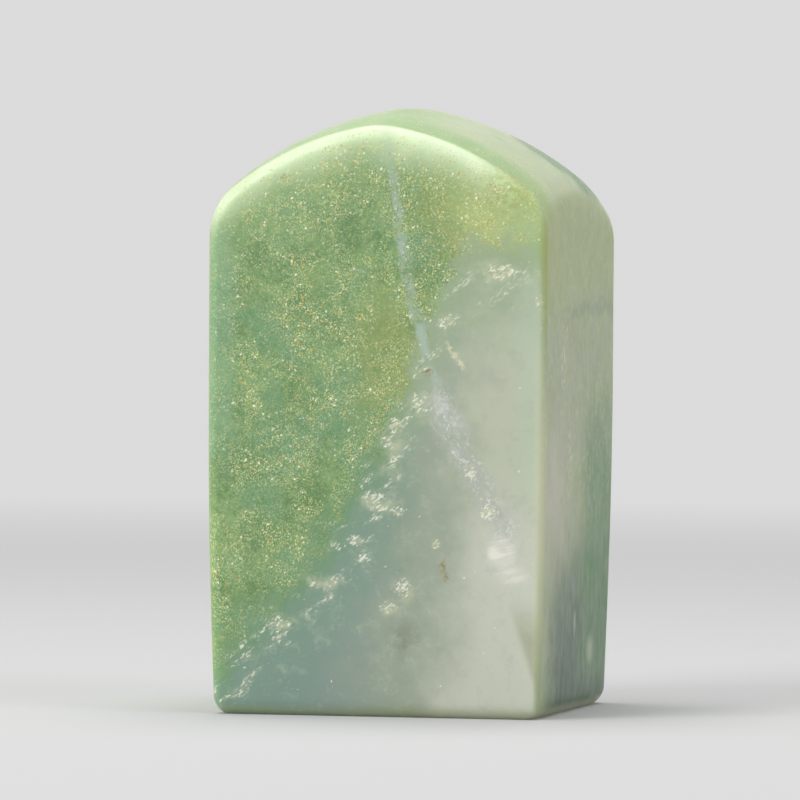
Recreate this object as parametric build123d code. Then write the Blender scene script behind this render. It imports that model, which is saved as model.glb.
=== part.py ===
from build123d import *
import os

# A stone seal: a square pillar of polished stone, held upright between the fingers and
# pressed down on its flat lower face. The sides swell a little towards the top, and the
# head is an arch across the width that is also crowned from front to back.
# Millimetres, +Z up, +X to the right of the front face, +Y to the back. The origin is the
# middle of the sealing face.

# Whole seal
overall_height = 44.0
body_width = 25.0
body_depth = 25.0

# Sides: upright down to the swell level, then one long arc in to the heel
swell_level = 25.0
side_taper = 0.42

# Foot: below the heel the sides turn in to the sealing face, ground flat with a crisp border
heel_level = 1.3
foot_turn_in = 0.73

# Head: a tight arc along the ridge, broad flanks and rounded shoulders
head_rise = 5.75
ridge_arc_radius = 7.5
ridge_arc_angle = 21.0
shoulder_radius = 4.2

# The ridge line itself is an arc from front to back
crown_radius = 46.0

# Hand-rounded edges, upright and round the head
edge_radius = 0.76

# How far a cutting outline runs past the stone
overrun = 5.0

# Two faces that meet at less than this many degrees have no edge between them
smooth_angle = 2.0


def pillar_outline(width):
    """Outline of the pillar, drawn on one side of its middle line and mirrored."""
    top_level = overall_height + overrun
    heel = width / 2 - side_taper
    swell_point = (width / 2, swell_level)
    heel_point = (heel, heel_level)
    face_point = (heel - foot_turn_in, 0)
    upper = Polyline((0, top_level), (width / 2, top_level), swell_point)
    side = TangentArc(swell_point, heel_point, tangent=(0, -1))
    turn = TangentArc(heel_point, face_point, tangent=side % 1)
    half = Curve() + [upper, side, turn, Line(face_point, (0, 0))]
    return make_face(half + mirror(half, Plane.YZ))


def crossed_pillar():
    """The front and side outlines, each run right through the stone and crossed."""
    front = Plane.XZ * pillar_outline(body_width)
    side = Plane.YZ * pillar_outline(body_depth)
    through_depth = extrude(front, amount=body_depth / 2 + overrun, both=True)
    through_width = extrude(side, amount=body_width / 2 + overrun, both=True)
    return through_depth & through_width


def head_outline(axis_level):
    """Arch of the head with its shoulders, down to the axis that it is turned about."""
    shoulder_point = (body_width / 2, overall_height - head_rise)
    ridge = JernArc((0, overall_height), (1, 0), ridge_arc_radius, -ridge_arc_angle / 2)
    flank = TangentArc(ridge @ 1, shoulder_point, tangent=ridge % 1)
    lower = Polyline(shoulder_point, (body_width / 2, axis_level), (0, axis_level))
    half = Curve() + [ridge, flank, lower]
    arch = make_face(half + mirror(half, Plane.YZ))
    shoulders = arch.vertices().group_by(Axis.Y)[1]
    return fillet(shoulders, shoulder_radius)


def turned_head():
    """The arch turned about a low axis across the seal, which crowns it front to back."""
    axis_level = overall_height - crown_radius
    turning_axis = Axis((0, 0, axis_level), (1, 0, 0))
    return revolve(Plane.XZ * head_outline(axis_level), turning_axis)


def crisp_edges(solid):
    """Edges whose two faces meet at more than the smooth angle."""
    crisp = ShapeList()
    for edge in solid.edges():
        sides = [face for face in solid.faces() if edge in face.edges()]
        normals = [face.normal_at(edge @ 0.5) for face in sides]
        if len(normals) == 2 and normals[0].get_angle(normals[1]) > smooth_angle:
            crisp.append(edge)
    return crisp


def seal_body():
    """The whole seal, one solid: the pillar under its head, with every handled edge rounded."""
    body = crossed_pillar() & turned_head()
    sealing_face = body.faces().sort_by(Axis.Z)[0]
    border = sealing_face.edges()
    handled = [edge for edge in crisp_edges(body) if edge not in border]
    return fillet(handled, edge_radius)


os.makedirs("parts", exist_ok=True)
export_step(seal_body(), "parts/seal_body.step")
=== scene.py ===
import math

import bpy
import numpy as np
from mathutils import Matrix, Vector, noise


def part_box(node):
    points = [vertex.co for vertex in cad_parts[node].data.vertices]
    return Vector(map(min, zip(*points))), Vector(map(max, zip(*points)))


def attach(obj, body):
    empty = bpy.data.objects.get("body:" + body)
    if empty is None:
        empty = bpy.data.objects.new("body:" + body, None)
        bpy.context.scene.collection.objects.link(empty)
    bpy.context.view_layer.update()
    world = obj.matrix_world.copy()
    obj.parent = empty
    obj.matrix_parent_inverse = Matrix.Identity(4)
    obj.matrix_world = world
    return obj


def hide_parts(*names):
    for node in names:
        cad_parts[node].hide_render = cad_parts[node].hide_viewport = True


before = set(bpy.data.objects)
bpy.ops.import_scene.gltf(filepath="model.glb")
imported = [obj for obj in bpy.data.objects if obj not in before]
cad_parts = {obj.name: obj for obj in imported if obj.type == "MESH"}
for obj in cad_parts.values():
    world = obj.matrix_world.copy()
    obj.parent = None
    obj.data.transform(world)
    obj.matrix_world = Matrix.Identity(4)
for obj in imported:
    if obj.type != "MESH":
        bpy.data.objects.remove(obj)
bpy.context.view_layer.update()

# Units and the frame's own sizes
mm = 0.001
seal_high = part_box("seal_body")[1]
height = seal_high.z
half_width = seal_high.x
half_depth = seal_high.y

# The stone's form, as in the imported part
swell_level = 25.0 * mm
side_taper = 0.42 * mm
heel_level = 1.3 * mm
foot_turn_in = 0.73 * mm
head_rise = 5.75 * mm
ridge_arc_radius = 7.5 * mm
ridge_half_angle = math.radians(10.5)
shoulder_radius = 4.2 * mm
crown_radius = 46.0 * mm
edge_radius = 0.76 * mm

# Mesh lines: close together by the edges, wider apart on the faces
first_step = 0.14 * mm
step_growth = 1.13
widest_step = 0.55 * mm
settling_steps = 12
probe = 0.002 * mm
tiny = 1e-9

# Hand grinding and polishing leave the faces a little uneven
unevenness = 0.05 * mm
unevenness_size = 9.0 * mm
fine_unevenness = 0.012 * mm
fine_unevenness_size = 2.6 * mm


# The form of the stone


def arc_through(start, heading, end):
    """Centre, radius and total turn of an arc that leaves start along heading and reaches end."""
    chord = np.subtract(end, start)
    length = np.hypot(*chord)
    turn = math.atan2(chord[1], chord[0]) - heading
    radius = length / (2 * math.sin(abs(turn)))
    side = 1 if turn > 0 else -1
    centre = (start[0] - side * radius * math.sin(heading), start[1] + side * radius * math.cos(heading))
    return centre, radius, 2 * turn


def form():
    """The arcs of the front outline's right half, as centres and radii."""
    down = -math.pi / 2
    ridge_centre = (0.0, height - ridge_arc_radius)
    ridge_end = (
        ridge_arc_radius * math.sin(ridge_half_angle),
        ridge_centre[1] + ridge_arc_radius * math.cos(ridge_half_angle),
    )
    shoulder_point = (half_width, height - head_rise)
    flank_centre, flank_radius, _ = arc_through(ridge_end, -ridge_half_angle, shoulder_point)
    shoulder_across = half_width - shoulder_radius
    reach = flank_radius - shoulder_radius
    shoulder_level = flank_centre[1] + math.sqrt(reach**2 - (shoulder_across - flank_centre[0]) ** 2)
    swell_point = (half_width, swell_level)
    heel_point = (half_width - side_taper, heel_level)
    side_centre, side_radius, side_turn = arc_through(swell_point, down, heel_point)
    face_point = (heel_point[0] - foot_turn_in, 0.0)
    foot_centre, foot_radius, _ = arc_through(heel_point, down + side_turn, face_point)
    return {
        "ridge": (ridge_centre, ridge_arc_radius),
        "flank": (flank_centre, flank_radius),
        "shoulder": ((shoulder_across, shoulder_level), shoulder_radius),
        "side": (side_centre, side_radius),
        "foot": (foot_centre, foot_radius),
        "ridge_end": ridge_end,
    }


FORM = form()


def arc_reach(name, level):
    """How far an arc lies from the middle line at each level."""
    (across, centre_level), radius = FORM[name]
    return across + np.sqrt(np.maximum(radius**2 - (level - centre_level) ** 2, 0))


def arc_height(name, across):
    """How high an arc lies at each distance from the middle line."""
    (centre_across, level), radius = FORM[name]
    return level + np.sqrt(np.maximum(radius**2 - (across - centre_across) ** 2, 0))


def side_inset(level):
    """How far the sides have drawn in at each level."""
    tapered = np.where(level < heel_level, arc_reach("foot", level), arc_reach("side", level))
    return np.where(level < swell_level, half_width - tapered, 0.0)


def arch_level(across):
    """Height of the arch before its shoulders are rounded."""
    return np.where(across < FORM["ridge_end"][0], arc_height("ridge", across), arc_height("flank", across))


def outside_outline(across, level):
    """How far points lie outside the head's arch, shoulders and upright sides."""
    (_, shoulder_level), _ = FORM["shoulder"]
    (_, flank_level), flank_radius = FORM["flank"]
    leans = {
        "shoulder": -1.0,
        "flank": (shoulder_level - flank_level) / (flank_radius - shoulder_radius),
        "ridge": math.cos(ridge_half_angle),
    }
    result = across - half_width
    for name, least_lean in leans.items():
        (centre_across, centre_level), radius = FORM[name]
        reach = np.hypot(across - centre_across, level - centre_level)
        lean = (level - centre_level) / np.maximum(reach, probe)
        covered = (lean > least_lean) & (level > shoulder_level)
        result = np.where(covered, reach - radius, result)
    return result


def outside_stone(points):
    """How far points lie outside the stone, its edges rounded."""
    across = np.abs(points[:, 0])
    deep = np.abs(points[:, 1])
    level = points[:, 2]
    axis_level = height - crown_radius
    crown_level = axis_level + np.hypot(deep, level - axis_level)
    inset = side_inset(level)
    over_width = outside_outline(across + inset, crown_level) + edge_radius
    over_depth = deep + inset - half_depth + edge_radius
    rounded = np.hypot(np.maximum(over_width, 0), np.maximum(over_depth, 0))
    return rounded + np.minimum(np.maximum(over_width, over_depth), 0) - edge_radius


def outward(points):
    """Directions in which points leave the stone fastest."""
    slopes = []
    for axis in np.eye(3):
        slopes.append(outside_stone(points + probe * axis) - outside_stone(points - probe * axis))
    slope = np.stack(slopes, axis=1)
    return slope / np.maximum(np.linalg.norm(slope, axis=1, keepdims=True), tiny)


def settle(points):
    """Points moved onto the stone, level ones staying level below the swell."""
    for _ in range(settling_steps):
        direction = outward(points)
        direction[points[:, 2] < swell_level, 2] = 0
        points = points - direction * outside_stone(points)[:, None]
    return points


# The mesh of the stone


def mesh_lines(length):
    """Places of the mesh lines along one side of a box of that length."""
    steps = []
    step = first_step
    while step < widest_step:
        steps.append(step)
        step *= step_growth
    middle = length - 2 * sum(steps)
    count = round(middle / widest_step)
    return np.concatenate(([0.0], np.cumsum(steps + [middle / count] * count + steps[::-1])))


def box_quads(counts):
    """Vertex keys and outward quads over the surface of a box cut into cells."""
    keys = {}
    quads = []
    for axis in range(3):
        first, second = (axis + 1) % 3, (axis + 2) % 3
        for end in (0, counts[axis]):
            for a in range(counts[first]):
                for b in range(counts[second]):
                    corners = [(a, b), (a + 1, b), (a + 1, b + 1), (a, b + 1)]
                    if end == 0:
                        corners.reverse()
                    quad = []
                    for places in corners:
                        key = [end] * 3
                        key[first], key[second] = places
                        quad.append(keys.setdefault(tuple(key), len(keys)))
                    quads.append(quad)
    return keys, quads


def uneven(points, directions):
    """Points sunk a little by the broad and the fine unevenness of hand polishing."""
    sunk = []
    for point in points:
        broad = noise.noise(Vector(point) / unevenness_size)
        fine = noise.noise(Vector(point) / fine_unevenness_size)
        sunk.append(unevenness * (0.5 + 0.5 * broad) + fine_unevenness * (0.5 + 0.5 * fine))
    return points - directions * np.array(sunk)[:, None]


def stone_mesh():
    """The polished stone as one closed mesh of quads."""
    lines = [mesh_lines(2 * half_width), mesh_lines(2 * half_depth), mesh_lines(height)]
    last = [len(line) - 1 for line in lines]
    keys, quads = box_quads(last)
    lattice = np.array(list(keys))
    x = lines[0][lattice[:, 0]] - half_width
    y = lines[1][lattice[:, 1]] - half_depth
    under = lattice[:, 2] == 0
    span = np.where(under, np.maximum(np.abs(x) / half_width, np.abs(y) / half_depth), 1.0)
    span = np.maximum(span, tiny)
    x, y = x / span, y / span
    axis_level = height - crown_radius
    crown = np.sqrt((arch_level(np.abs(x)) - axis_level) ** 2 - y**2) + axis_level
    z = lines[2][lattice[:, 2]] / height * crown
    drawn_in = 1 - side_inset(z) / half_width
    points = settle(np.stack([x * drawn_in, y * drawn_in, z], axis=1))
    directions = outward(points)
    directions[points[:, 2] < heel_level, 2] = 0
    points = uneven(points, directions)
    points[under, :2] *= span[under, None]
    points[under, 2] = 0
    mesh = bpy.data.meshes.new("seal_body_polished")
    mesh.from_pydata(points.tolist(), [], quads)
    mesh.polygons.foreach_set("use_smooth", [True] * len(quads))
    border = under & (np.isin(lattice[:, 0], (0, last[0])) | np.isin(lattice[:, 1], (0, last[1])))
    crisp = mesh.attributes.new("sharp_edge", "BOOLEAN", "EDGE")
    crisp.data.foreach_set("value", [bool(border[list(edge.vertices)].all()) for edge in mesh.edges])
    mesh.validate()
    return mesh


# Short names for the nodes of a material


class Graph:
    """One material's nodes, each call giving the output of a new node."""

    def __init__(self, name):
        self.material = bpy.data.materials.new(name)
        self.material.use_nodes = True
        self.tree = self.material.node_tree
        self.tree.nodes.clear()

    def node(self, kind, inputs, **settings):
        made = self.tree.nodes.new(kind)
        for key, value in settings.items():
            setattr(made, key, value)
        for key, value in inputs.items():
            if isinstance(value, bpy.types.NodeSocket):
                self.tree.links.new(value, made.inputs[key])
            else:
                made.inputs[key].default_value = value
        return made

    def math(self, operation, *values):
        return self.node("ShaderNodeMath", dict(enumerate(values)), operation=operation).outputs[0]

    def chain(self, operation, values):
        result = values[0]
        for value in values[1:]:
            result = self.math(operation, result, value)
        return result

    def plus(self, *values):
        return self.chain("ADD", values)

    def times(self, *values):
        return self.chain("MULTIPLY", values)

    def most(self, *values):
        return self.chain("MAXIMUM", values)

    def less(self, first, second):
        return self.math("SUBTRACT", first, second)

    def vector(self, operation, *values):
        return self.node("ShaderNodeVectorMath", dict(enumerate(values)), operation=operation).outputs[0]

    def ramp(self, value, low, high, start=0.0, end=1.0):
        """Smooth step from start to end as value goes from low to high."""
        inputs = {"Value": value, "From Min": low, "From Max": high, "To Min": start, "To Max": end}
        return self.node("ShaderNodeMapRange", inputs, interpolation_type="SMOOTHSTEP").outputs[0]

    def mix(self, share, first, second):
        return self.node("ShaderNodeMix", {0: share, 6: first, 7: second}, data_type="RGBA").outputs[2]

    def curve(self, value, points, span, rise):
        """A smooth curve through given points, over value's span and its own rise."""
        (low, high), (bottom, top) = span, rise
        inputs = {"Value": value, "From Min": low, "From Max": high}
        share = self.node("ShaderNodeMapRange", inputs).outputs[0]
        shaped = self.node("ShaderNodeFloatCurve", {"Value": share})
        line = shaped.mapping.curves[0].points
        placed = [((a - low) / (high - low), (b - bottom) / (top - bottom)) for a, b in points]
        line[0].location = placed[0]
        line[1].location = placed[-1]
        for place in placed[1:-1]:
            line.new(*place)
        shaped.mapping.update()
        inputs = {"Value": shaped.outputs[0], "To Min": bottom, "To Max": top}
        return self.node("ShaderNodeMapRange", inputs).outputs[0]

    def noise(self, place, size, detail=2.0, roughness=0.5):
        inputs = {"Vector": place, "Scale": 1 / size, "Detail": detail, "Roughness": roughness}
        return self.node("ShaderNodeTexNoise", inputs).outputs[0]


def colour(red, green, blue):
    """A colour named by its screen values, as the linear values that the nodes take."""
    screen = (red, green, blue)
    linear = [value / 12.92 if value <= 0.04045 else ((value + 0.055) / 1.055) ** 2.4 for value in screen]
    return (*linear, 1.0)


# The stone's material, its places in millimetres

green_deep = colour(0.42, 0.57, 0.37)
green_light = colour(0.57, 0.69, 0.47)
green_teal = colour(0.44, 0.61, 0.46)
green_golden = colour(0.60, 0.66, 0.40)
green_yellow = colour(0.75, 0.80, 0.53)
green_clear = colour(0.49, 0.63, 0.49)
# Head tones: a painted glow, a brighter painted glow by the front edge, a painted shade, the stone's own
# far green, and a painted sheen
head_painted_glow = colour(0.70, 0.80, 0.59)
head_painted_edge_glow = colour(0.89, 0.94, 0.83)
head_painted_shade = colour(0.60, 0.72, 0.48)
head_far = colour(0.42, 0.57, 0.40)
head_painted_sheen = colour(0.77, 0.80, 0.68)
fleck_pale = colour(0.72, 0.80, 0.64)
fleck_cream = colour(0.88, 0.87, 0.63)
fleck_gold = colour(0.78, 0.68, 0.36)
fleck_white = colour(0.95, 0.95, 0.88)
fleck_olive = colour(0.44, 0.49, 0.24)
left_teal = colour(0.56, 0.70, 0.57)
edge_olive = colour(0.66, 0.70, 0.47)
# Pale beige for the painted highlight along the front right edge
highlight_beige = colour(0.82, 0.82, 0.72)
pale_teal = colour(0.53, 0.64, 0.57)
pale_blue = colour(0.55, 0.63, 0.61)
pale_grey = colour(0.65, 0.69, 0.62)
pale_cream = colour(0.77, 0.79, 0.71)
pale_bright = colour(0.75, 0.80, 0.72)
pale_green = colour(0.65, 0.72, 0.60)
cream_low = colour(0.82, 0.83, 0.78)
crystal_cream = colour(0.86, 0.86, 0.74)
crystal_white = colour(0.95, 0.95, 0.90)
cloud_cream = colour(0.79, 0.81, 0.69)
vein_blue = colour(0.70, 0.77, 0.72)
web_grey = colour(0.72, 0.75, 0.70)
web_white = colour(0.87, 0.87, 0.85)
bar_white = colour(0.93, 0.92, 0.89)
patch_grey = colour(0.56, 0.58, 0.52)
corner_beige = colour(0.70, 0.71, 0.62)
side_green = colour(0.64, 0.70, 0.47)
side_grey = colour(0.63, 0.68, 0.54)
side_beige = colour(0.74, 0.74, 0.65)
side_deep = colour(0.32, 0.52, 0.30)
# Dark teal for low on the right side, partly the stone's tone and partly painted shade
side_teal_shaded = colour(0.21, 0.35, 0.28)
side_line = colour(0.45, 0.56, 0.44)
spot_ochre = colour(0.60, 0.50, 0.24)
spot_brown = colour(0.60, 0.50, 0.36)

# The faces that the photograph shows, and the spans of the tables below
front_face = -12.5
right_face = 12.5
width_span = (-12.5, 12.5)
level_span = (0.0, 44.0)
vein_span = (0.0, 14.0)
head_span = (30.0, 44.0)

# Border of the green zone on the front face: width, level
zone_line = [
    (-12.5, 0.0),
    (-11.2, 2.0),
    (-9.4, 5.2),
    (-6.0, 7.8),
    (-3.2, 11.3),
    (-0.8, 15.2),
    (1.2, 18.8),
    (2.8, 22.8),
    (4.2, 26.3),
    (5.7, 29.9),
    (7.2, 31.8),
    (12.5, 32.0),
]

# The vein on the front face: level, width
vein_line = [
    (0.0, 13.0),
    (7.1, 11.6),
    (14.2, 9.1),
    (17.8, 7.1),
    (20.6, 5.6),
    (24.9, 4.1),
    (27.8, 3.3),
    (31.3, 2.4),
    (34.9, 1.8),
    (41.3, 0.9),
    (44.0, 0.5),
]

# Clusters of crystals on the front face: width, level, half length, half height
crystal_places = [
    (3.1, 22.5, 0.8, 1.2),
    (3.9, 22.1, 0.6, 0.7),
    (1.6, 20.9, 0.9, 0.8),
    (0.9, 19.6, 0.5, 0.9),
    (1.2, 18.1, 0.6, 0.8),
    (0.3, 15.9, 1.4, 0.6),
    (0.4, 15.0, 1.1, 0.3),
    (1.7, 14.8, 0.8, 0.5),
    (-2.6, 12.2, 0.9, 0.4),
    (-1.3, 12.6, 0.9, 0.5),
    (-0.6, 11.4, 0.8, 0.4),
    (-4.4, 9.4, 0.6, 0.3),
    (-7.2, 6.6, 0.5, 0.3),
    (2.0, 9.4, 0.9, 1.0),
    (1.3, 7.9, 0.9, 0.7),
    (4.5, 12.5, 0.6, 0.5),
    (5.4, 28.5, 1.0, 0.8),
    (8.3, 14.9, 0.9, 0.9),
    (7.0, 17.7, 0.6, 0.6),
    (9.6, 32.0, 2.6, 0.7),
    (11.9, 29.7, 0.6, 0.8),
]

# Soft cream clouds beside the crystals: width, level, half length, half height
cloud_places = [
    (1.4, 18.5, 1.6, 2.8),
    (0.6, 15.6, 2.2, 1.2),
    (3.4, 22.2, 1.4, 1.6),
    (-3.9, 9.7, 2.4, 0.9),
    (-6.6, 6.6, 1.8, 0.7),
    (2.0, 9.0, 1.3, 1.4),
    (1.3, 7.8, 1.0, 0.9),
    (9.0, 32.0, 3.6, 1.1),
]

# The leaning crystal below the vein, from its upper to its lower end
long_crystal = ((5.3, front_face, 26.8), (6.4, front_face, 25.1))

# Dots among the flecks: cell size, share of cells, reach in a cell, tint, strength
fleck_dots = [
    (0.25, 0.22, 0.32, fleck_olive, 0.45),
    (0.20, 0.50, 0.37, fleck_cream, 0.85),
    (0.27, 0.42, 0.34, fleck_gold, 0.90),
    (0.33, 0.34, 0.30, fleck_white, 1.00),
]

# Rusty spots: place, reach, tint
spots = [
    ((5.05, front_face, 10.9), (0.55, 1.5, 0.75), spot_ochre),
    ((5.35, front_face, 10.1), (0.45, 1.5, 0.6), spot_ochre),
    ((-6.8, front_face, 38.7), (0.45, 1.5, 0.35), spot_brown),
    ((3.9, front_face, 24.9), (0.55, 1.0, 0.45), spot_ochre),
    ((-1.7, front_face, 21.5), (0.16, 0.5, 0.16), spot_brown),
    ((right_face, -6.3, 15.5), (1.0, 0.4, 0.5), spot_brown),
    ((right_face, -3.2, 12.8), (1.0, 0.35, 0.7), spot_brown),
]

# Names below hold what one call takes: a place is centre, half sizes, full share, raggedness;
# patches are size, low, high, most; strokes are size, width, fill; ramps are from, to, low, high.

# Sizes of the noise that makes the borders wander and the dots ragged
broad_size = 7.0 * mm
waver_size = 1.6 * mm
bend_size = 0.22 * mm
noise_roughness = 0.6

# Strokes and dots: the part that is full, how strokes are broken, and how cells are picked
stroke_core = 0.3
stroke_gaps = 0.9
kept_low = 0.62
kept_high = 0.70
kept_fill = 0.24
dot_core = 0.5
pick_soft = 0.05

# The zones: how far their sheets lean as they go back, the green border and the patch at the back
green_lean = 0.12
vein_lean = 0.3
border_slope = 0.42
border_wander = (1.8, 2.2)
green_border = (-1.0, 0.9)
green_patch = ((13.0, 12.0, 14.0), (7.0, 13.0, 11.0))
patch_wander = 0.15
patch_border = (0.15, 0.75)
arch_widths = (-12.5, -9.0, -6.0, -3.0, 0.0, 3.0, 6.0, 9.0, 12.5)

# The green ground: sizes of its clouds, places with their reach, and where it turns clear
cloud_size = 2.7 * mm
grain_size = 0.3 * mm
cloud_share = 0.6
ground_tones = (0.36, 0.64)
teal_patches = (5.3 * mm, 0.48, 0.62, 0.7)
golden_patches = (3.4 * mm, 0.36, 0.58, 0.75)
golden_corner = ((8.0, front_face, 36.0), (7.0, 20.0, 5.5), 0.4)
golden_middle = ((1.5, front_face, 25.0), (5.0, 12.0, 9.0))
yellow_corner = ((9.5, front_face, 36.0), (5.5, 8.0, 4.0), 0.3)
yellow_strength = 0.9
clear_levels = (17.0, 27.0)
clear_border = (2.0, 0.4, 0.0, 0.85)
clear_waver = 1.5

# The flecks: where they set in, their drifts and the lean of their strokes in degrees
fleck_border = (0.2, 1.7)
fleck_top = (0.0, 1.8, 0.5, 1.0)
drift_patches = (2.4 * mm, 0.36, 0.58, 0.8)
outside_drifts = 0.3
swarm_patches = (0.8 * mm, 0.36, 0.60)
outside_swarms = 0.4
inside_swarms = 0.7
fleck_lean = 55
fleck_stretch = 1.25
pale_strokes = (0.11 * mm, 0.18, 0.6)
pale_strength = 0.55
bright_strokes = (0.12 * mm, 0.14, 0.3)
bright_spread = 0.3
bright_strength = 0.7

# The pale ground: widths and levels over which one tone gives way to the next; the band near the right edge
# is a painted highlight
mist_size = 4.5 * mm
mist_reach = 10.0
wedge_mist = 5.0
grey_widths = (-8.0, 3.5)
cream_widths = (3.0, 10.0, 0.0, 0.9)
near_border = (-3.2, -0.8, 0.0, 0.75)
far_border = (-5.2, -0.8, 0.0, 0.8)
far_levels = (22.0, 14.0)
teal_levels = (16.0, 24.0)
highlight_widths = (9.4, 11.2)
highlight_levels = (5.0, 9.0, 0.0, 0.55)
wedge_lean = 0.12
wedge_widths = (2.5, 7.5)
wedge_levels = (20.0, 11.0, 0.0, 0.85)
grey_place = ((2.2, front_face, 5.5), (1.8, 4.0, 2.0))
grey_patches = (1.2 * mm, 0.35, 0.6, 0.7)
corner_width = 10.26
corner_level = 6.85
corner_across = 0.95
corner_up = 0.31
corner_border = (-0.2, 0.4)
corner_levels = (9.0, 5.5, 0.0, 0.85)
mottle_size = 1.3 * mm
mottle_dark = (0.50, 0.34, 0.0, 0.14)
mottle_pale = (0.50, 0.70, 0.0, 0.45)

# The vein: half widths from clear to full, levels of its parts, lean of the web in degrees
vein_waver = 1.2
thin_widths = (0.60, 0.12)
thin_least = 0.15
broad_widths = (1.7, 0.3)
broad_least = 0.35
broad_strength = 0.9
thin_levels = (22.5, 25.0)
fading_levels = (41.5, 36.0, 0.2, 1.0)
web_top = (25.0, 22.0)
web_foot = (11.0, 14.0)
broken_patches = (1.1 * mm, 0.34, 0.60, 0.75)
web_lean = -60
web_stretch = 1.4
web_size = 0.8 * mm
web_tones = (0.46, 0.66, 0.0, 0.65)
stroke_stretch = 1.3
web_strokes = (0.22 * mm, 0.16, 0.5)
web_patches = (0.9 * mm, 0.42, 0.62)

# The crystals: how deep they reach, their band along the border, lean of their strokes in degrees
crystal_depth = 2.5
crystal_waver = 2.2
cloud_depth = 3.0
cloud_waver = 1.5
cloud_spread = 0.6
band_below = (-2.0, -0.6)
band_above = (1.0, 0.2)
streak_lean = 36
streak_stretch = 3.5
streak_size = 0.8 * mm
streak_tones = (0.47, 0.63)
streak_levels = (30.0, 20.0, 0.35, 0.7)
veil_patches = (0.9 * mm, 0.34, 0.62, 0.8)
crystal_lean = 38
crystal_stretch = 2.4
crystal_size = 0.26 * mm
crystal_gain = 0.20
crystal_tones = (0.65, 0.78, 0.0, 0.85)
crystal_strokes = (0.17 * mm, 0.16, 0.5)
stroke_tones = (0.05, 0.6, 0.0, 0.8)

# The bars low on the vein and the single white dots
bars_above = ((9.4, front_face, 11.8), (1.3, 2.5, 1.5), 0.4, 0.8)
bars_below = ((10.1, front_face, 10.3), (1.7, 2.5, 1.0), 0.2, 0.8)
below_strength = 0.7
bar_lean = 14
bar_stretch = 5.0
bar_size = 0.42 * mm
bar_tones = (0.42, 0.56, 0.45, 1.0)
bar_strength = 0.9
few_dots = (0.8, 0.30, 0.12)
dot_patches = (3.0 * mm, 0.35, 0.60, 0.85)

# The head: depths below its surface and behind the front face, for its painted glow, painted shade and
# painted sheen
glow_depths = (6.0, 0.4, 0.0, 0.6)
glow_reach = 4.0
edge_glow_depths = (3.4, 0.2)
edge_glow_front_depths = (1.0, 0.1)
edge_glow_widths = (11.5, 7.0, 0.0, 0.9)
top_depths = (1.6, 0.6)
shade_band_front = (0.6, 1.1)
shade_band_back = (3.6, 1.8)
shade_band_share = 0.5
golden_edge = ((10.0, -11.9, 37.5), (4.0, 1.8, 3.0))
golden_grains = (0.5 * mm, 0.35, 0.6, 0.9)
painted_sheen_widths = (1.0, 5.0)
painted_sheen_depths = (2.5, 4.5, 0.0, 0.7)
far_patch = ((9.0, 5.5, 39.5), (5.2, 9.6, 6.0), 0.0)
far_wander = (0.5, 0.3)
far_tones = (0.08, 0.34, 0.0, 0.9)

# The edges: the band inside the left edge, the painted rim light on the left edge with painted shade along
# the foot, and the lines along the front right edge, one of them a painted highlight
left_widths = (-9.8, -11.2)
left_foot = (16.0, 22.0)
left_top = (37.0, 33.0)
left_depths = (2.5, 1.0, 0.0, 0.5)
rim_light_widths = (-12.1, -12.4)
foot_shade_levels = (0.9, 0.3)
rim_light_and_shade_strength = 0.4
olive_edge = ((12.4, -12.4, 34.5), (0.8, 0.8, 8.0), 0.0)
olive_strength = 0.7
edge_highlight_place = ((12.4, -12.4, 12.0), (1.1, 1.3, 22.0), 0.0)
edge_highlight_strength = 0.9

# The right side: places from front to back and levels over which its tones change, with painted shade low
# at the front
side_widths = (11.95, 12.4)
brushed_share = 0.12
brushed_size = 0.5 * mm
brushed_tones = (0.0, 0.2, 0.0, 0.2)
depth_waver = 4.0
depth_brushed = 2.5
level_broad = 8.0
level_brushed = 3.0
side_levels = (26.0, 33.0)
side_patches = (3.0 * mm, 0.48, 0.62, 0.5)
beige_place = ((right_face, -8.5, 16.0), (3.0, 7.5, 9.0), 0.0)
middle_strength = 0.95
shade_depths = (-12.0, -5.0)
shade_levels = (15.0, 6.0, 0.0, 0.9)
back_broad = 5.0
back_depths = (-1.0, 5.0)
back_levels = (26.0, 17.0)
back_foot = (0.0, 4.0, 0.0, 0.75)
deep_place = ((right_face, 5.0, 10.0), (3.0, 7.0, 4.5))
deep_strength = 0.95
line_level = 29.2
line_wander = (3.0, 1.5)
line_widths = (0.8, 0.1)
line_depths = (-6.0, -2.0, 0.0, 0.45)
haze_patches = (0.6 * mm, 0.46, 0.70, 0.35)
haze_levels = (11.0, 17.0)
warm_place = ((right_face, -11.5, 34.0), (3.0, 6.0, 8.0), 0.0)
warm_patches = (0.8 * mm, 0.36, 0.60, 0.9)
dash_share = 0.5
dash_strokes = (0.3 * mm, 0.2, 0.4)
dash_strength = 0.8
dashes_above = ((right_face, -6.0, 25.5), (2.0, 2.2, 5.5), 0.0, 1.2)
dashes_below = ((right_face, -3.5, 19.0), (2.0, 2.0, 5.0), 0.0, 1.2)
cream_back = ((right_face, 5.4, 4.3), (2.0, 1.8, 1.6))
cream_middle = ((right_face, -0.4, 6.5), (1.0, 0.6, 1.4))
cream_strength = 0.6

# The long crystal's half width and half length from clear to full, and the rusty spots' speckle
long_widths = (0.34, 0.12)
long_reach = (1.3, 0.8)
long_taper = 0.10
long_rough = 0.35 * mm
long_waver = 2.0
long_grains = (0.3 * mm, 0.3, 0.5, 0.9)
spot_waver = 1.6
speckle_patches = (0.24 * mm, 0.38, 0.60, 0.85)

# The polish: sheen patches, ripples and how far light goes into the stone
ground_levels = (0.03, 0.01)
ground_rougher = 0.3
sheen_size = 2.0 * mm
sheen_tones = (0.3, 0.7, 0.28, 0.38)
ripple_size = 1.2 * mm
ripple_depth = 0.01 * mm
ripple_strength = 0.2
stone_ior = 1.54
specular_level = 0.3
light_reach = 1.8 * mm
light_tint = (1.0, 1.15, 0.8)


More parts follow.
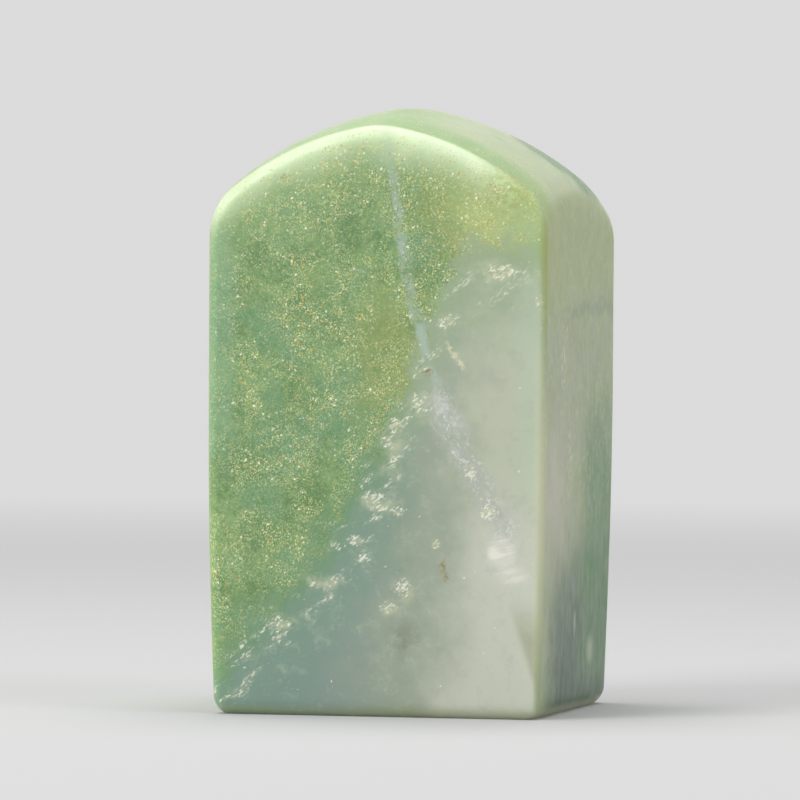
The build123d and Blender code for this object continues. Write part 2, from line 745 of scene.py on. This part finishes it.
class Stone(Graph):
    """The stone's nodes, with the places and borders that its colours follow."""

    def __init__(self, name):
        super().__init__(name)
        self.place = self.node("ShaderNodeTexCoord", {}).outputs["Object"]
        inputs = {0: self.place, "Scale": 1 / mm}
        scaled = self.node("ShaderNodeVectorMath", inputs, operation="SCALE").outputs[0]
        self.x, self.y, self.z = self.node("ShaderNodeSeparateXYZ", {0: scaled}).outputs
        below = self.most(0, self.less(swell_level / mm, self.z))
        taper = side_taper * mm / (swell_level - heel_level) ** 2
        self.inset = self.times(below, below, taper)
        self.right = self.plus(self.x, self.inset)
        self.left = self.less(self.x, self.inset)
        self.behind = self.less(self.plus(self.y, half_depth / mm), self.inset)
        self.broad = self.swing(broad_size, detail=2)
        self.waver = self.swing(waver_size, detail=4)
        self.bent = self.bent_place(bend_size)
        self.zones()

    def swing(self, size, detail):
        """Noise about zero."""
        return self.less(self.noise(self.place, size, detail=detail, roughness=noise_roughness), 0.5)

    def wander(self, broad, waver):
        """Broad and fine noise together, each by its own share."""
        return self.plus(self.times(self.broad, broad), self.times(self.waver, waver))

    def patches(self, size, low, high, most=1.0, detail=4):
        """Cloudy patches, from nothing to their most."""
        cloud = self.noise(self.place, size, detail=detail, roughness=noise_roughness)
        return self.ramp(cloud, low, high, 0.0, most)

    def blob(self, centre, reach, soft=0.2, ragged=0.0):
        """1 at a place in the stone, falling smoothly to 0 at its reach."""
        away = self.vector("SUBTRACT", self.place, [c * mm for c in centre])
        away = self.vector("DIVIDE", away, [r * mm for r in reach])
        length = self.node("ShaderNodeVectorMath", {0: away}, operation="LENGTH").outputs["Value"]
        if ragged:
            length = self.plus(length, self.times(self.waver, ragged))
        return self.ramp(length, 1.0, soft)

    def blobs(self, rows, depth, ragged):
        """Ragged blobs on the front face, one for each row of width, level and half sizes."""
        return [
            self.blob((x, front_face, z), (long, depth, high), soft=0.0, ragged=ragged)
            for x, z, long, high in rows
        ]

    def drawn(self, turn, stretch):
        """Places drawn out along a direction turned up from the width of the stone."""
        inputs = {"Vector": self.place, "Angle": math.radians(turn)}
        turned = self.node("ShaderNodeVectorRotate", inputs, rotation_type="Y_AXIS").outputs[0]
        return self.vector("MULTIPLY", turned, (1 / stretch, 1.0, 1.0))

    def strokes(self, place, size, width, fill=0.5):
        """Short fine lines, broken and scattered."""
        lines = self.less(self.noise(place, size, detail=0), 0.5)
        line = self.ramp(self.math("ABSOLUTE", lines), width, stroke_core * width)
        kept = self.noise(place, stroke_gaps * size, detail=0)
        shift = kept_fill * fill
        return self.times(line, self.ramp(kept, kept_low - shift, kept_high - shift))

    def bent_place(self, size):
        """Places pushed about a little, which makes round dots ragged."""
        push = self.node("ShaderNodeTexNoise", {"Vector": self.place, "Scale": 1 / size, "Detail": 0.0})
        push = self.vector("SUBTRACT", push.outputs["Color"], (0.5, 0.5, 0.5))
        return self.vector("ADD", self.place, self.vector("MULTIPLY", push, [size] * 3))

    def dots(self, size, share, reach):
        """Small ragged dots in a share of the cells."""
        cell = self.node("ShaderNodeTexVoronoi", {"Vector": self.bent, "Scale": 1 / (size * mm)})
        pick = self.node("ShaderNodeSeparateColor", {0: cell.outputs["Color"]}).outputs[0]
        shape = self.ramp(cell.outputs["Distance"], reach, dot_core * reach)
        return self.times(self.ramp(pick, share, share - pick_soft), shape)

    def zones(self):
        """The green zone, above a sheet that leans as it goes back, and in a patch low at the back."""
        sheet_x = self.less(self.x, self.times(self.behind, green_lean))
        level = self.curve(sheet_x, zone_line, width_span, level_span)
        wander = self.wander(*border_wander)
        self.above = self.plus(self.times(self.less(self.z, level), border_slope), wander)
        patch = self.blob(*green_patch)
        patch = self.ramp(self.plus(patch, self.times(wander, patch_wander)), *patch_border)
        self.green = self.most(self.ramp(self.above, *green_border), patch)
        vein_x = self.curve(self.z, vein_line, level_span, vein_span)
        self.beside = self.less(self.plus(self.x, self.times(self.behind, vein_lean)), vein_x)
        arch = [(width, float(arch_level(abs(width) * mm)) / mm) for width in arch_widths]
        crown = self.times(self.y, self.y, -0.5 * mm / crown_radius)
        head = self.plus(self.curve(self.x, arch, width_span, head_span), crown)
        self.below_head = self.less(head, self.z)

    def green_ground(self):
        """Cloudy green, golden by the vein and at the upper right, clear by its border."""
        cloud = self.noise(self.place, cloud_size, detail=5, roughness=0.6)
        grain = self.noise(self.place, grain_size, detail=2, roughness=0.7)
        tone = self.plus(self.times(cloud, cloud_share), self.times(grain, 1 - cloud_share))
        ground = self.mix(self.ramp(tone, *ground_tones), green_deep, green_light)
        ground = self.mix(self.patches(*teal_patches), ground, green_teal)
        golden = self.most(self.blob(*golden_corner), self.blob(*golden_middle))
        golden = self.times(golden, self.patches(*golden_patches))
        ground = self.mix(golden, ground, green_golden)
        yellow = self.times(self.blob(*yellow_corner), yellow_strength)
        ground = self.mix(yellow, ground, green_yellow)
        clear = self.plus(self.above, self.times(self.waver, clear_waver))
        clear_tone = self.mix(self.ramp(self.z, *clear_levels), green_clear, pale_green)
        return self.mix(self.ramp(clear, *clear_border), ground, clear_tone)

    def with_flecks(self, ground):
        """Mica flecks in drifts over the green, as fine strokes and dots."""
        below_top = self.ramp(self.below_head, *fleck_top)
        inside = self.times(self.ramp(self.above, *fleck_border), below_top)
        drift = self.times(inside, self.patches(*drift_patches))
        drift = self.plus(drift, self.times(inside, outside_drifts))
        swarm = self.patches(*swarm_patches, detail=2)
        drawn = self.drawn(fleck_lean, fleck_stretch)
        pale = self.times(self.strokes(drawn, *pale_strokes), drift, pale_strength)
        ground = self.mix(pale, ground, fleck_pale)
        bright = self.strokes(drawn, *bright_strokes)
        bright = self.times(bright, drift, self.plus(bright_spread, swarm), bright_strength)
        ground = self.mix(bright, ground, fleck_cream)
        crowding = self.plus(outside_swarms, self.times(swarm, inside_swarms))
        for size, share, reach, tint, strength in fleck_dots:
            dots = self.times(self.dots(size, share, reach), crowding, drift, strength)
            ground = self.mix(dots, ground, tint)
        return ground

    def pale_ground(self):
        """Cloudy pale stone: teal by the green, bluish low at the left, cream towards the right, with a
        painted highlight near the right edge.
        """
        mist = self.swing(mist_size, detail=5)
        warm = self.plus(self.x, self.times(mist, mist_reach))
        pale = self.mix(self.ramp(warm, *grey_widths), pale_blue, pale_grey)
        pale = self.mix(self.ramp(warm, *cream_widths), pale, pale_cream)
        near = self.ramp(self.above, *near_border)
        far = self.times(self.ramp(self.above, *far_border), self.ramp(self.z, *far_levels))
        border_tone = self.mix(self.ramp(self.z, *teal_levels), pale_teal, pale_green)
        pale = self.mix(self.most(near, far), pale, border_tone)
        # Painted highlight: a paler band on the front face near its right edge
        band = self.times(self.ramp(self.x, *highlight_widths), self.ramp(self.z, *highlight_levels))
        pale = self.mix(band, pale, pale_bright)
        wedge = self.plus(self.x, self.times(mist, wedge_mist), self.times(self.z, -wedge_lean))
        wedge = self.times(self.ramp(wedge, *wedge_widths), self.ramp(self.z, *wedge_levels))
        pale = self.mix(wedge, pale, cream_low)
        grey = self.times(self.blob(*grey_place), self.patches(*grey_patches))
        pale = self.mix(grey, pale, patch_grey)
        aside = self.times(self.less(self.x, corner_width), corner_across)
        over = self.times(self.less(self.z, corner_level), corner_up)
        corner = self.ramp(self.plus(aside, over), *corner_border)
        corner = self.times(corner, self.ramp(self.z, *corner_levels))
        pale = self.mix(corner, pale, corner_beige)
        mottled = self.noise(self.place, mottle_size, detail=7, roughness=0.75)
        pale = self.mix(self.ramp(mottled, *mottle_dark), pale, pale_blue)
        return self.mix(self.ramp(mottled, *mottle_pale), pale, pale_bright)

    def with_vein(self, stone):
        """The vein: thin and cloudy in the green, a broad mottled web in the pale."""
        ragged = self.math("ABSOLUTE", self.plus(self.beside, self.times(self.waver, vein_waver)))
        broken = self.patches(*broken_patches)
        faded = self.times(self.ramp(self.z, *thin_levels), self.ramp(self.z, *fading_levels))
        thin = self.times(self.ramp(ragged, *thin_widths), faded, self.plus(thin_least, broken))
        stone = self.mix(thin, stone, vein_blue)
        broad = self.times(self.ramp(self.z, *web_top), self.ramp(self.z, *web_foot))
        broad = self.times(self.ramp(ragged, *broad_widths), broad)
        stone = self.mix(self.times(broad, self.plus(broad_least, broken), broad_strength), stone, web_grey)
        mottle = self.noise(self.drawn(web_lean, web_stretch), web_size, detail=7, roughness=0.75)
        stone = self.mix(self.times(self.ramp(mottle, *web_tones), broad), stone, web_white)
        fine = self.strokes(self.drawn(web_lean, stroke_stretch), *web_strokes)
        return self.mix(self.times(fine, broad, self.patches(*web_patches)), stone, web_white)

    def with_crystals(self, stone):
        """Fine crystals in soft clouds, strung along the border and gathered in clusters."""
        gathered = self.blobs(crystal_places, crystal_depth, crystal_waver)
        border = self.times(self.ramp(self.above, *band_below), self.ramp(self.above, *band_above))
        streaks = self.noise(self.drawn(streak_lean, streak_stretch), streak_size, detail=4)
        streaks = self.ramp(streaks, *streak_tones)
        border = self.times(border, streaks, self.ramp(self.z, *streak_levels))
        density = self.most(border, *gathered)
        clouds = self.blobs(cloud_places, cloud_depth, cloud_waver)
        cloud = self.most(self.times(density, cloud_spread), *clouds)
        stone = self.mix(self.times(cloud, self.patches(*veil_patches)), stone, cloud_cream)
        drawn = self.drawn(crystal_lean, crystal_stretch)
        lumps = self.noise(drawn, crystal_size, detail=4, roughness=0.75)
        lumps = self.plus(lumps, self.times(density, crystal_gain))
        stone = self.mix(self.ramp(lumps, *crystal_tones), stone, crystal_cream)
        fine = self.strokes(drawn, *crystal_strokes)
        return self.mix(self.times(fine, self.ramp(density, *stroke_tones)), stone, crystal_white)

    def with_bars(self, stone):
        """White bars low on the vein."""
        below = self.times(self.blob(*bars_below), below_strength)
        place = self.most(self.blob(*bars_above), below)
        bars = self.noise(self.drawn(bar_lean, bar_stretch), bar_size, detail=2)
        bars = self.times(self.ramp(bars, *bar_tones), place, bar_strength)
        return self.mix(bars, stone, bar_white)

    def with_dots(self, stone):
        """Tiny white dots, few and far apart."""
        few = self.times(self.dots(*few_dots), self.patches(*dot_patches))
        return self.mix(few, stone, fleck_white)

    def with_head(self, stone):
        """The head: paler with painted glow where light comes through, painted shade as a greener band
        behind its front edge, and a painted sheen towards the right of its top.
        """
        # Painted glow: paler within a few millimetres below the head, standing in for top light coming
        # through the stone
        stone = self.mix(self.ramp(self.below_head, *glow_depths), stone, head_painted_glow)
        # Painted glow: a bright band on the front face just below the head's front edge, standing in for
        # top light coming through the stone
        haze = self.plus(self.below_head, self.times(self.broad, glow_reach))
        front = self.times(self.ramp(self.behind, *edge_glow_front_depths), self.ramp(haze, *edge_glow_depths))
        stone = self.mix(self.times(front, self.ramp(self.x, *edge_glow_widths)), stone, head_painted_edge_glow)
        # Painted shade: a greener band on the head's top just behind its front edge, where less light
        # reaches
        on_top = self.ramp(self.below_head, *top_depths)
        band = self.times(on_top, self.ramp(self.behind, *shade_band_front), self.ramp(self.behind, *shade_band_back))
        stone = self.mix(self.times(band, self.plus(shade_band_share, self.broad)), stone, head_painted_shade)
        golden = self.times(self.blob(*golden_edge), self.patches(*golden_grains))
        stone = self.mix(golden, stone, edge_olive)
        # Painted sheen: a pale grey band on the right of the head's top, behind its front edge, standing in
        # for grazing reflection
        flank = self.times(self.ramp(self.x, *painted_sheen_widths), self.ramp(self.behind, *painted_sheen_depths))
        stone = self.mix(self.times(on_top, flank), stone, head_painted_sheen)
        far = self.plus(self.blob(*far_patch), self.wander(*far_wander))
        return self.mix(self.ramp(far, *far_tones), stone, head_far)

    def with_edges(self, stone):
        """A bluish band inside the left edge, a painted rim light on the left edge and painted shade along
        the foot, and an olive line and a painted highlight along the front right edge.
        """
        left = self.times(self.ramp(self.z, *left_foot), self.ramp(self.z, *left_top))
        left = self.times(self.ramp(self.x, *left_widths), left, self.ramp(self.behind, *left_depths))
        stone = self.mix(left, stone, left_teal)
        # Painted rim light along the left edge, and painted shade along the foot
        rim_light_and_shade = self.most(self.ramp(self.left, *rim_light_widths), self.ramp(self.z, *foot_shade_levels))
        stone = self.mix(self.times(rim_light_and_shade, rim_light_and_shade_strength), stone, edge_olive)
        olive = self.times(self.blob(*olive_edge), olive_strength)
        # Painted highlight: pale beige along the front right edge, strongest low down
        beige = self.times(self.blob(*edge_highlight_place), edge_highlight_strength)
        return self.mix(olive, self.mix(beige, stone, highlight_beige), edge_olive)

    def with_right_side(self, stone):
        """The right side: green at the top and low at the back, beige in the middle, and dark teal low at
        the front, partly the stone's own tone and partly painted shade.
        """
        side = self.ramp(self.right, *side_widths)
        tall = self.vector("MULTIPLY", self.place, (1.0, 1.0, brushed_share))
        brushed = self.less(self.noise(tall, brushed_size, detail=4, roughness=0.7), 0.5)
        depth = self.plus(self.y, self.times(self.waver, depth_waver), self.times(brushed, depth_brushed))
        level = self.plus(self.z, self.times(self.broad, level_broad), self.times(brushed, level_brushed))
        tone = self.mix(self.ramp(level, *side_levels), side_grey, side_green)
        tone = self.mix(self.patches(*side_patches), tone, side_green)
        beige = self.times(self.blob(*beige_place), middle_strength)
        tone = self.mix(beige, tone, side_beige)
        # Dark teal low at the front of the right side: the stone's teal deepened by painted shade
        low = self.times(self.ramp(depth, *shade_depths), self.ramp(level, *shade_levels))
        tone = self.mix(low, tone, side_teal_shaded)
        back = self.ramp(self.plus(depth, self.times(self.broad, back_broad)), *back_depths)
        back = self.times(back, self.ramp(level, *back_levels), self.ramp(self.z, *back_foot))
        deep = self.times(self.blob(*deep_place), deep_strength)
        tone = self.mix(self.most(back, deep), tone, side_deep)
        wave = self.plus(self.less(self.z, line_level), self.wander(*line_wander))
        wave = self.math("ABSOLUTE", wave)
        line = self.times(self.ramp(wave, *line_widths), self.ramp(self.y, *line_depths))
        tone = self.mix(line, tone, side_line)
        tone = self.mix(self.ramp(brushed, *brushed_tones), tone, pale_cream)
        haze = self.times(self.patches(*haze_patches), self.ramp(level, *haze_levels))
        tone = self.mix(haze, tone, pale_cream)
        warm = self.times(self.blob(*warm_place), self.patches(*warm_patches))
        tone = self.mix(warm, tone, edge_olive)
        long = self.vector("MULTIPLY", self.place, (1.0, 1.0, dash_share))
        dashes = self.strokes(long, *dash_strokes)
        dashed = self.times(self.blob(*dashes_below), below_strength)
        dashed = self.most(self.blob(*dashes_above), dashed)
        tone = self.mix(self.times(dashes, dashed, dash_strength), tone, crystal_cream)
        cream = self.most(self.blob(*cream_back), self.blob(*cream_middle))
        tone = self.mix(self.times(cream, cream_strength), tone, cloud_cream)
        return self.mix(side, stone, tone)

    def with_long_crystal(self, stone):
        """One cream crystal that leans down to the right."""
        first, second = (Vector(end) * mm for end in long_crystal)
        along = (second - first).normalized()
        away = self.vector("SUBTRACT", self.place, list((first + second) / 2))
        run = self.node("ShaderNodeVectorMath", {0: away, 1: list(along)}, operation="DOT_PRODUCT")
        run = self.math("ABSOLUTE", self.times(run.outputs["Value"], 1 / mm))
        length = self.node("ShaderNodeVectorMath", {0: away}, operation="LENGTH").outputs["Value"]
        length = self.times(length, 1 / mm)
        across = self.math("SQRT", self.less(self.times(length, length), self.times(run, run)))
        across = self.plus(across, self.times(run, long_taper), self.swing(long_rough, detail=3))
        run = self.plus(run, self.times(self.waver, long_waver))
        shape = self.times(self.ramp(across, *long_widths), self.ramp(run, *long_reach))
        return self.mix(self.times(shape, self.patches(*long_grains)), stone, crystal_cream)

    def with_spots(self, stone):
        """A few rusty spots."""
        speckle = self.patches(*speckle_patches, detail=3)
        for centre, reach, tint in spots:
            spot = self.times(self.blob(centre, reach, soft=0.0, ragged=spot_waver), speckle)
            stone = self.mix(spot, stone, tint)
        return stone

    def finish(self, stone):
        """A waxy polish over translucent stone, and a ground, matt sealing face."""
        under = self.ramp(self.z, *ground_levels)
        roughness = self.ramp(self.noise(self.place, sheen_size, detail=3), *sheen_tones)
        roughness = self.plus(roughness, self.times(under, ground_rougher))
        ripple = self.noise(self.place, ripple_size, detail=2)
        inputs = {"Height": ripple, "Strength": ripple_strength, "Distance": ripple_depth}
        bump = self.node("ShaderNodeBump", inputs)
        inputs = {
            "Base Color": stone,
            "Roughness": roughness,
            "IOR": stone_ior,
            "Specular IOR Level": specular_level,
            "Subsurface Weight": 1.0,
            "Subsurface Radius": light_tint,
            "Subsurface Scale": light_reach,
            "Normal": bump.outputs[0],
        }
        shader = self.node("ShaderNodeBsdfPrincipled", inputs)
        self.node("ShaderNodeOutputMaterial", {"Surface": shader.outputs[0]})
        return self.material


def stone_material():
    """Green stone full of fine flecks beside pale translucent stone, with a vein between."""
    s = Stone("stone_green_and_pale")
    stone = s.with_head(s.mix(s.green, s.pale_ground(), s.green_ground()))
    layers = (
        s.with_flecks,
        s.with_vein,
        s.with_crystals,
        s.with_bars,
        s.with_long_crystal,
        s.with_dots,
        s.with_right_side,
        s.with_edges,
        s.with_spots,
    )
    for layer in layers:
        stone = layer(stone)
    return s.finish(stone)


def seal_stone():
    """The stone itself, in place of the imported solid."""
    piece = bpy.data.objects.new("seal_body_polished", stone_mesh())
    bpy.context.scene.collection.objects.link(piece)
    piece.data.materials.append(stone_material())
    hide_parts("seal_body")
    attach(piece, "root")


# Floor and light

floor_paint = colour(0.80, 0.80, 0.80)
background = colour(0.86, 0.86, 0.86)
fill_strength = 0.42
floor_radius = 4.0
floor_corners = 96
fade_start = 0.10
fade_end = 0.60

# Soft boxes: place, side and power
soft_boxes = {
    "soft_box_above": ((-0.04, 0.08, 0.55), 0.40, 2.2),
    "soft_box_left": ((-0.40, -0.50, 0.30), 0.40, 3.0),
    "soft_box_right": ((0.60, -0.20, 0.30), 0.30, 1.0),
}


def seen_directly(tree):
    """1 for rays that show the background itself: camera, mirror and through-glass rays."""
    path = tree.nodes.new("ShaderNodeLightPath")
    result = path.outputs["Is Camera Ray"]
    for name in ("Is Glossy Ray", "Is Transmission Ray"):
        larger = tree.nodes.new("ShaderNodeMath")
        larger.operation = "MAXIMUM"
        tree.links.new(result, larger.inputs[0])
        tree.links.new(path.outputs[name], larger.inputs[1])
        result = larger.outputs[0]
    return result


def floor():
    """A wide pale floor that turns to the tone of the background far from the stone."""
    g = Graph("floor_pale")
    place = g.node("ShaderNodeTexCoord", {}).outputs["Object"]
    away = g.node("ShaderNodeVectorMath", {0: place}, operation="LENGTH").outputs["Value"]
    fade = g.times(g.ramp(away, fade_start, fade_end), seen_directly(g.tree))
    paint = g.node("ShaderNodeBsdfDiffuse", {"Color": floor_paint}).outputs[0]
    glow = g.node("ShaderNodeEmission", {"Color": background}).outputs[0]
    surface = g.node("ShaderNodeMixShader", {0: fade, 1: paint, 2: glow}).outputs[0]
    g.node("ShaderNodeOutputMaterial", {"Surface": surface})
    bpy.ops.mesh.primitive_circle_add(vertices=floor_corners, radius=floor_radius, fill_type="NGON")
    plane = bpy.context.object
    plane.name = "floor"
    plane.data.materials.append(g.material)


def lamp(name, place, size, power):
    """A square soft box that looks at the middle of the stone."""
    data = bpy.data.lights.new(name, "AREA")
    data.size = size
    data.energy = power
    item = bpy.data.objects.new(name, data)
    item.location = place
    facing = Vector((0, 0, height / 2)) - Vector(place)
    item.rotation_euler = facing.to_track_quat("-Z", "Y").to_euler()
    bpy.context.scene.collection.objects.link(item)


def lights():
    """Soft boxes above and at both sides, with an even fill from all round."""
    for name, (place, side, power) in soft_boxes.items():
        lamp(name, place, side, power)
    world = bpy.data.worlds.new("studio")
    bpy.context.scene.world = world
    world.use_nodes = True
    tree = world.node_tree
    surround = tree.nodes["Background"]
    surround.inputs["Color"].default_value = background
    strength = tree.nodes.new("ShaderNodeMapRange")
    strength.inputs["To Min"].default_value = fill_strength
    strength.inputs["To Max"].default_value = 1.0
    tree.links.new(seen_directly(tree), strength.inputs["Value"])
    tree.links.new(strength.outputs[0], surround.inputs["Strength"])


# Camera, fitted to the outline of the stone in the photograph

camera_azimuth = math.radians(13.1)
camera_distance = 0.4915
eye_level = 28.4 * mm
pitch_down = math.radians(0.6755)
turn_left = math.radians(0.121)
roll = math.radians(0.42)
lens = 301.5
sensor = 36.0


def camera():
    """The camera at the photograph's viewing angle."""
    data = bpy.data.cameras.new("camera")
    data.lens = lens
    data.sensor_width = sensor
    item = bpy.data.objects.new("camera", data)
    bpy.context.scene.collection.objects.link(item)
    side = camera_distance * math.sin(camera_azimuth)
    back = camera_distance * math.cos(camera_azimuth)
    item.location = (side, -back, eye_level)
    heading = camera_azimuth + turn_left
    ahead = Vector((-math.sin(heading), math.cos(heading), -math.tan(pitch_down)))
    item.rotation_euler = ahead.to_track_quat("-Z", "Y").to_euler()
    item.rotation_euler.rotate_axis("Z", roll)
    bpy.context.scene.camera = item


camera()
bpy.context.scene.view_settings.view_transform = "Standard"
floor()
lights()
seal_stone()
